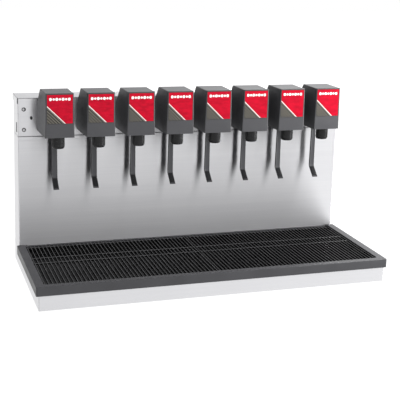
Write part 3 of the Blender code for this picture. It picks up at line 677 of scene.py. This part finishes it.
def make_grille(side):
    """Half of the grille: thin tapered bars over lower cross ribs, in a light frame."""
    name = f"grille_{side}"
    low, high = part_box(name)
    first, last = low.x + RAIL, high.x - RAIL
    slots = round((last - first + BAR) / BAR_PITCH)
    pitch = (last - first + BAR) / slots
    bm = bmesh.new()
    for index in range(1, slots):
        x = first + index * pitch - BAR / 2
        bar = block(bm, (x - BAR / 2, low.y, low.z), (x + BAR / 2, high.y, high.z))
        crown = [vert for vert in bar if vert.co.z > high.z - 0.0001]
        bmesh.ops.scale(bm, vec=(BAR_TOP / BAR, 1, 1), space=Matrix.Translation((-x, 0, 0)),
                        verts=crown)
    ridges = [edge for edge in bm.edges if all(v.co.z > high.z - 0.0001 for v in edge.verts)]
    soften(bm, ridges, 0.0004, 2)
    for x0, wall in ((low.x, low.x + RAIL - RAIL_WALL), (high.x - RAIL, high.x - RAIL)):
        block(bm, (x0, low.y, low.z), (x0 + RAIL, high.y, low.z + RAIL_SHELF), 0.0004, 2)
        block(bm, (wall, low.y, low.z + 0.0002), (wall + RAIL_WALL, high.y, high.z), 0.0004, 2)
    front, rear = FINGERS
    rails = [low.y + front, *[low.y + rib for rib in CROSS_RIBS], high.y - rear - RAIL]
    for y in rails:
        block(bm, (low.x + 0.001, y, low.z + 0.0002),
              (high.x - 0.001, y + RAIL, high.z - RIB_DROP), 0.0005, 2)
    piece(bm, f"{name}_moulding", name, GRILLE_BLACK, [name])


# ---- valves -----------------------------------------------------------
def cover_shell(number):
    """Wedge-shaped shell: rounded edges, sloped back, label recess in front."""
    low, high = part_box(f"valve_cover_{number}")
    label_low, label_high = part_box(f"id_panel_{number}")
    x = valve_x(number)
    back = SPLASH_Y - 0.001
    (front_half, top_half), (rear_half, rear_top) = COVER_FRONT, COVER_REAR
    outline = [(rear_half, back, low.z), (rear_half, back, low.z + SHOULDER),
               (rear_top, back - TOP_START, high.z - 0.0005), (top_half, low.y, high.z),
               (front_half, low.y, low.z)]
    bm = bmesh.new()
    left = bm.faces.new([bm.verts.new((-half, y, z)) for half, y, z in outline])
    pulled = bmesh.ops.extrude_face_region(bm, geom=[left])["geom"]
    for vert in [item for item in pulled if isinstance(item, bmesh.types.BMVert)]:
        bmesh.ops.translate(bm, vec=(-2 * vert.co.x, 0, 0), verts=[vert])
    bmesh.ops.recalc_face_normals(bm, faces=bm.faces)
    edges = [edge for edge in bm.edges
             if max(v.co.z for v in edge.verts) > low.z + 0.001
             and min(v.co.y for v in edge.verts) < back - 0.001]
    soften(bm, edges, COVER_EDGE, 4)
    bm.normal_update()
    open_sides = [face for face in bm.faces if face.normal.z < -0.95
                  or (face.normal.y > 0.98 and face.calc_center_median().z < low.z + SHOULDER)]
    bmesh.ops.delete(bm, geom=open_sides, context="FACES")
    grow = TINY
    edges_x = (-(label_high.x - x) - grow, label_high.x - x + grow)
    edges_z = (label_low.z - grow, label_high.z + grow)
    for axis, pair in zip((0, 2), (edges_x, edges_z)):
        for cut in pair:
            place, normal = [0.0, low.y, 0.0], [0.0, 0.0, 0.0]
            place[axis], normal[axis] = cut, 1.0
            front = [f for f in bm.faces if f.calc_center_median().y < low.y + 0.00001]
            geom = front + list({e for f in front for e in f.edges})
            geom += list({v for f in front for v in f.verts})
            bmesh.ops.bisect_plane(bm, geom=geom, dist=1e-6, plane_co=place, plane_no=normal)
    recess = [f for f in bm.faces if f.calc_center_median().y < low.y + 0.00001
              and edges_x[0] < f.calc_center_median().x < edges_x[1]
              and edges_z[0] < f.calc_center_median().z < edges_z[1]]
    sunk = bmesh.ops.extrude_face_region(bm, geom=recess)["geom"]
    bmesh.ops.delete(bm, geom=recess, context="FACES")
    bmesh.ops.translate(bm, vec=(0, label_high.y - label_low.y + grow, 0),
                        verts=[v for v in sunk if isinstance(v, bmesh.types.BMVert)])
    bmesh.ops.recalc_face_normals(bm, faces=bm.faces)
    bm.normal_update()
    face_out(bm)
    bmesh.ops.translate(bm, vec=(x, 0, 0), verts=bm.verts)
    piece(bm, f"cover_shell_{number}", f"cover_{number}", COVER_GREY,
          [f"valve_cover_{number}"], COVER_WALL)


def label_plate(number):
    """Printed label plate, set in the cover's recess."""
    low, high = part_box(f"id_panel_{number}")
    bm = bmesh.new()
    block(bm, low, high, 0.0003, 2)
    uv = bm.loops.layers.uv.new("label")
    for face in bm.faces:
        for loop in face.loops:
            co = loop.vert.co
            loop[uv].uv = ((co.x - low.x) / (high.x - low.x), (co.z - low.z) / (high.z - low.z))
    piece(bm, f"label_plate_{number}", f"cover_{number}", LABEL_PRINT,
          [f"id_panel_{number}"])


def nozzle_shell(number):
    """Ribbed nozzle with a collar, a rounded mouth and a spreader inside."""
    low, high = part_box(f"nozzle_{number}")
    centre = ((low.x + high.x) / 2, (low.y + high.y) / 2, high.z)
    radius, tall = (high.x - low.x) / 2, high.z - low.z
    skin = radius - 0.0007
    bm = bmesh.new()
    turned(bm, [(0.0135, 0), (radius, 0), (radius, -0.0030), (skin, -0.0034),
                (skin, -tall + 0.0055), (radius - 0.0002, -tall + 0.0050),
                (radius - 0.0004, -tall + 0.0036), (0.0148, -tall + 0.0012),
                (0.0140, -tall + 0.0003), (0.0130, -tall), (0.0105, -tall),
                (0.0105, -tall + 0.0008), (0.0135, -tall + 0.0066), (0.0135, 0)], centre, 52)
    for index in range(RIBS_ROUND_NOZZLE):
        rib = block(bm, (skin - 0.0004, -0.0008, -tall + 0.0052), (radius, 0.0008, -0.0032))
        outside = [v for v in rib if v.co.x > skin]
        bmesh.ops.scale(bm, vec=(1, 0.55, 1), verts=outside)
        turn = Matrix.Rotation(2 * math.pi * index / RIBS_ROUND_NOZZLE, 4, "Z")
        bmesh.ops.transform(bm, verts=rib, matrix=Matrix.Translation(centre) @ turn)
    piece(bm, f"nozzle_shell_{number}", f"nozzle_{number}", NOZZLE_BLACK,
          [f"nozzle_{number}"])
    bm = bmesh.new()
    turned(bm, [(0, -0.0130), (0.0060, -0.0135), (0.0062, -0.0160), (0.0040, -0.0200),
                (0.0036, -0.0275), (0.0026, -0.0290), (0, -0.0292)], centre, 24)
    for index in range(4):
        web = block(bm, (0.0030, -0.0006, -0.0190), (0.0134, 0.0006, -0.0140))
        turn = Matrix.Rotation(math.pi * (index + 0.5) / 2, 4, "Z")
        bmesh.ops.transform(bm, verts=web, matrix=Matrix.Translation(centre) @ turn)
    piece(bm, f"nozzle_spreader_{number}", f"nozzle_{number}", NOZZLE_BLACK)


def arm_path(y, z):
    """The lever's centreline: straight down, then an arc forward to the tip."""
    straight = KNEE_DROP - KNEE_RADIUS * math.tan(KNEE_ANGLE / 2)
    path = [(y, z + 0.004)]
    steps = 8
    for step in range(steps + 1):
        angle = KNEE_ANGLE * step / steps
        path.append((y - KNEE_RADIUS * (1 - math.cos(angle)),
                     z - straight - KNEE_RADIUS * math.sin(angle)))
    knee_y, knee_z = path[-1]
    run = LEVER_LENGTH - (z - knee_z)
    path.append((knee_y - run * math.tan(KNEE_ANGLE), knee_z - run))
    return path


def strip(path, x, widths, columns, hollow):
    """A ribbon along a path of (y, z) points, its middle set back by hollow."""
    bm = bmesh.new()
    top = path[0][1]
    bottom = path[-1][1]
    rows = []
    for index, (y, z) in enumerate(path):
        share = (top - z) / (top - bottom)
        half = (widths[0] + (widths[1] - widths[0]) * share) / 2
        rows.append([bm.verts.new((x + half * across, y + (hollow if abs(across) < 0.9 else 0), z))
                     for across in columns])
    lines = [bm.edges.new(pair) for row in rows for pair in zip(row, row[1:])]
    count = len(columns) - 1
    for index in range(len(rows) - 1):
        bmesh.ops.bridge_loops(bm, edges=lines[index * count:(index + 2) * count])
    bmesh.ops.recalc_face_normals(bm, faces=bm.faces)
    bm.normal_update()
    if sum(face.normal.y * face.calc_area() for face in bm.faces) > 0:
        bmesh.ops.reverse_faces(bm, faces=bm.faces)
    return bm


def lever_arm(number):
    """Channelled arm with its pivot boss and pin, and a ribbed rubber pad at the tip."""
    low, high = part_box(f"lever_{number}")
    x = (low.x + high.x) / 2
    y, z = SPLASH_Y - 0.032, high.z - 0.0042
    path = arm_path(y - LEVER_ARM / 2, z)
    bm = strip(path, x, (0.0095, 0.0125), (-1, -0.80, -0.62, 0.62, 0.80, 1), 0.0007)
    bmesh.ops.solidify(bm, geom=list(bm.faces), thickness=LEVER_ARM - 0.0001)
    bmesh.ops.recalc_face_normals(bm, faces=bm.faces)
    bm.normal_update()
    rims = [edge for edge in bm.edges if len(edge.link_faces) == 2
            and edge.calc_face_angle(0) > math.radians(60)]
    soften(bm, rims, 0.0005, 2)
    rod(bm, (x - 0.00475, y, z), (1, 0, 0), 0.0042, 0.0095, 24)
    rod(bm, (x - 0.0080, y, z), (1, 0, 0), 0.0025, 0.0160, 20)
    piece(bm, f"lever_arm_{number}", f"lever_{number}", LEVER_CHARCOAL,
          [f"lever_{number}"])
    knee, tip = Vector((0, *path[-2])), Vector((0, *path[-1]))
    along = (tip - knee).normalized()
    out = Vector((0, along.z, -along.y))
    bm = bmesh.new()
    reach = (tip - knee).length
    half = 0.0056
    for start, stop, rise in [(-0.002, reach - 0.0036, 0.0007)]:
        pad = block(bm, (-half, -rise, start), (half, 0.0004, stop))
        place = Matrix((Vector((1, 0, 0)), -out, along)).transposed().to_4x4()
        place.translation = Vector((x, knee.y, knee.z))
        edges = list({edge for vert in pad for edge in vert.link_edges})
        soften(bm, edges, 0.0003, 2)
        steps = 9
        for index in range(steps):
            z0 = start + (stop - start) * (index + 0.3) / steps
            block(bm, (-half + 0.0008, -rise - 0.0004, z0),
                  (half - 0.0008, -rise + 0.0002, z0 + 0.0009), 0.0002, 1)
        bmesh.ops.transform(bm, verts=bm.verts, matrix=place)
    bmesh.ops.recalc_face_normals(bm, faces=bm.faces)
    piece(bm, f"lever_pad_{number}", f"lever_{number}", PAD_BLACK)


def valve_works(number):
    """Valve body under the cover: plate, flow block, ears, solenoids and adjusters."""
    low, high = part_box(f"valve_body_{number}")
    x = valve_x(number)
    plate_top = low.z + 0.0155
    plate_low = low.z + 0.0120
    back = SPLASH_Y - 0.046
    bm = bmesh.new()
    block(bm, (low.x, low.y, plate_low), (high.x, back, plate_top), 0.0006)
    block(bm, (x - 0.022, low.y + 0.006, plate_top - 0.001), (x + 0.022, back, high.z), 0.0015, 3)
    block(bm, (x - 0.010, back - 0.001, 0.388), (x + 0.010, SPLASH_Y - 0.0123, 0.408), 0.0012)
    for side in (-1, 1):
        inner, outer = sorted((side * 0.00535, side * 0.00835))
        block(bm, (x + inner, back - 0.001, plate_top - 0.001),
              (x + outer, SPLASH_Y - 0.026, 0.3805), 0.0006)
        block(bm, (x + side * 0.0135 - 0.0012, low.y + 0.0052, plate_top + 0.004),
              (x + side * 0.0135 + 0.0012, low.y + 0.0070, high.z - 0.003), 0.0004)
    centre = (x, (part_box(f"nozzle_{number}")[0].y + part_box(f"nozzle_{number}")[1].y) / 2, low.z)
    turned(bm, [(0, 0), (0.0118, 0), (0.0126, 0.0010), (0.0126, 0.0125), (0, 0.0125)],
           centre, 36)
    piece(bm, f"valve_works_{number}", "frame", BODY_BLACK,
          [f"valve_body_{number}"])
    bm = bmesh.new()
    caps = bmesh.new()
    for side in (-1, 1):
        spot = (x + side * 0.0112, back - 0.016, high.z)
        turned(bm, [(0, 0), (0.0088, 0), (0.0094, 0.0010), (0.0094, 0.0240),
                    (0.0088, 0.0250), (0, 0.0250)], spot, 32)
        block(caps, (spot[0] - 0.0085, spot[1] - 0.0085, high.z + 0.0252),
              (spot[0] + 0.0085, spot[1] + 0.0085, high.z + 0.0270), 0.0004)
        rod(caps, (spot[0], spot[1], high.z + 0.0268), (0, 0, 1), 0.0030, 0.0030, 20)
        turned(caps, [(0, 0), (0.0052, 0), (0.0052, 0.0060), (0.0044, 0.0068),
                      (0.0016, 0.0068), (0.0016, 0.0056), (0, 0.0056)],
               (x + side * 0.0112, low.y + 0.020, high.z), 28)
    piece(bm, f"solenoids_{number}", "frame", COIL_WHITE)
    piece(caps, f"valve_fittings_{number}", "frame", ZINC)


# ---- inside the tower -------------------------------------------------
def make_inside():
    """Water rail with its branches and nuts, and the transformer."""
    low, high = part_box("water_rail")
    y, z = high.y - 0.008, (low.z + high.z) / 2
    bm = bmesh.new()
    tube = rod(bm, (low.x, y, z), (1, 0, 0), 0.008, high.x - low.x, 32)
    rims = [e for v in tube for e in v.link_edges
            if len(e.link_faces) == 2 and e.calc_face_angle(0) > 1.0]
    soften(bm, list(set(rims)), 0.0012, 2)
    nuts = bmesh.new()
    for number in VALVES:
        x = valve_x(number)
        rod(bm, (x, low.y + 0.0004, z), (0, 1, 0), 0.0043, y - low.y, 20)
        rod(nuts, (x, low.y + 0.0005, z), (0, 1, 0), 0.0068, 0.0075, 6)
    piece(bm, "rail_tube", "frame", STAINLESS, ["water_rail"])
    piece(nuts, "rail_nuts", "frame", BRASS, smooth=20)
    low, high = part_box("transformer")
    step, half = 0.007, 0.023
    middle = (low.x + high.x) / 2
    bm = bmesh.new()
    block(bm, (middle - half, low.y, low.z), (middle + half, high.y - step, high.z), 0.0006)
    piece(bm, "transformer_core", "frame", IRON, ["transformer"])
    bm = bmesh.new()
    for x0, x1 in ((low.x, middle - half - 0.0001), (middle + half + 0.0001, high.x)):
        block(bm, (x0, low.y + step, low.z + step), (x1, high.y - step, high.z - step), 0.004, 4)
    block(bm, (middle - half + 0.003, high.y - step + 0.0001, low.z + step),
          (middle + half - 0.003, high.y, high.z - step), 0.003, 4)
    piece(bm, "transformer_coil", "frame", TAPE)


def dress_plain_nodes():
    """Materials for the CAD nodes whose shape is already right."""
    for name in ["drain_spout", *[f"mounting_block_{number}" for number in VALVES]]:
        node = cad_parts[name]
        for place in node.material_slots:
            place.material = BODY_BLACK


# ---- studio -----------------------------------------------------------
def make_floor():
    """Wide pale floor that glows, brighter towards the right: painted light."""
    bm = bmesh.new()
    bmesh.ops.create_grid(bm, x_segments=1, y_segments=1, size=9.0)
    bmesh.ops.translate(bm, vec=(0, 0, -0.0006), verts=bm.verts)
    mesh = bpy.data.meshes.new("studio_floor")
    bm.to_mesh(mesh)
    bm.free()
    floor = bpy.data.objects.new("studio_floor", mesh)
    bpy.context.scene.collection.objects.link(floor)
    paint = Finish("studio_white", (0.03, 0.03, 0.03), 1.0, Specular_IOR_Level=0.0)
    x = paint.add("ShaderNodeSeparateXYZ", {0: paint.place}).outputs[0]
    paint.set("Emission Color", (1, 1, 1, 1))
    # painted light: the glow grows along x, as if the floor were lit more from the right
    paint.set("Emission Strength", paint.between(x, 1.04, 1.26, -0.5, 0.9))
    mesh.materials.append(paint.material)


def softbox(name, place, aim, size, power):
    light = bpy.data.lights.new(name, "AREA")
    light.shape = "RECTANGLE"
    light.size, light.size_y = size
    light.energy = power
    made = bpy.data.objects.new(name, light)
    made.location = place
    made.rotation_euler = (Vector(aim) - Vector(place)).to_track_quat("-Z", "Y").to_euler()
    bpy.context.scene.collection.objects.link(made)


def make_sky():
    """White all round to the lens, a little dimmer on the left as light."""
    world = bpy.data.worlds.new("studio")
    bpy.context.scene.world = world
    world.use_nodes = True
    tree = world.node_tree
    shade = tree.nodes["Background"]
    way = tree.nodes.new("ShaderNodeTexCoord")
    split = tree.nodes.new("ShaderNodeSeparateXYZ")
    span = tree.nodes.new("ShaderNodeMapRange")
    seen = tree.nodes.new("ShaderNodeLightPath")
    pick = tree.nodes.new("ShaderNodeMix")
    tree.links.new(way.outputs["Generated"], split.inputs[0])
    lean = tree.nodes.new("ShaderNodeMath")
    lean.operation = "MULTIPLY_ADD"
    lean.inputs[1].default_value = -6.7
    tree.links.new(split.outputs[0], lean.inputs[0])
    tree.links.new(split.outputs[1], lean.inputs[2])
    tree.links.new(lean.outputs[0], span.inputs["Value"])
    span.inputs["From Min"].default_value = 6.7
    span.inputs["From Max"].default_value = -4.0
    span.inputs["To Min"].default_value = 0.10
    span.inputs["To Max"].default_value = 1.35
    tree.links.new(seen.outputs["Is Camera Ray"], pick.inputs[0])
    tree.links.new(span.outputs[0], pick.inputs[2])
    pick.inputs[3].default_value = 1.0
    tree.links.new(pick.outputs[0], shade.inputs["Strength"])
    shade.inputs["Color"].default_value = (1, 1, 1, 1)


def make_camera():
    """Long lens, a little above and to the left."""
    lens = bpy.data.cameras.new("camera")
    lens.lens = 86.61
    lens.sensor_width = 36.0
    lens.shift_y = -0.1
    lens.clip_end = 50
    camera = bpy.data.objects.new("camera", lens)
    yaw, pitch, roll = (math.radians(angle) for angle in (18.61, 12.885, 1.818))
    turn = (Matrix.Rotation(-yaw, 4, "Z") @ Matrix.Rotation(math.pi / 2 - pitch, 4, "X")
            @ Matrix.Rotation(roll, 4, "Z"))
    camera.matrix_world = Matrix.Translation((-0.762, -2.2673, 0.8398)) @ turn
    bpy.context.scene.collection.objects.link(camera)
    bpy.context.scene.camera = camera


make_base()
make_splash()
make_header()
make_cap()
make_rear()
make_hardware()
make_tray()
make_grille("left")
make_grille("right")
for valve in VALVES:
    cover_shell(valve)
    label_plate(valve)
    nozzle_shell(valve)
    lever_arm(valve)
    valve_works(valve)
make_inside()
dress_plain_nodes()
make_floor()
make_sky()
make_camera()
softbox("key", (1.45, -0.50, 0.50), (0.1, 0.0, 0.30), (0.5, 0.6), 34)
softbox("overhead", (0.85, 0.80, 1.55), (0.2, -0.1, 0.1), (0.9, 0.35), 24)
bpy.context.scene.view_settings.view_transform = "Standard"
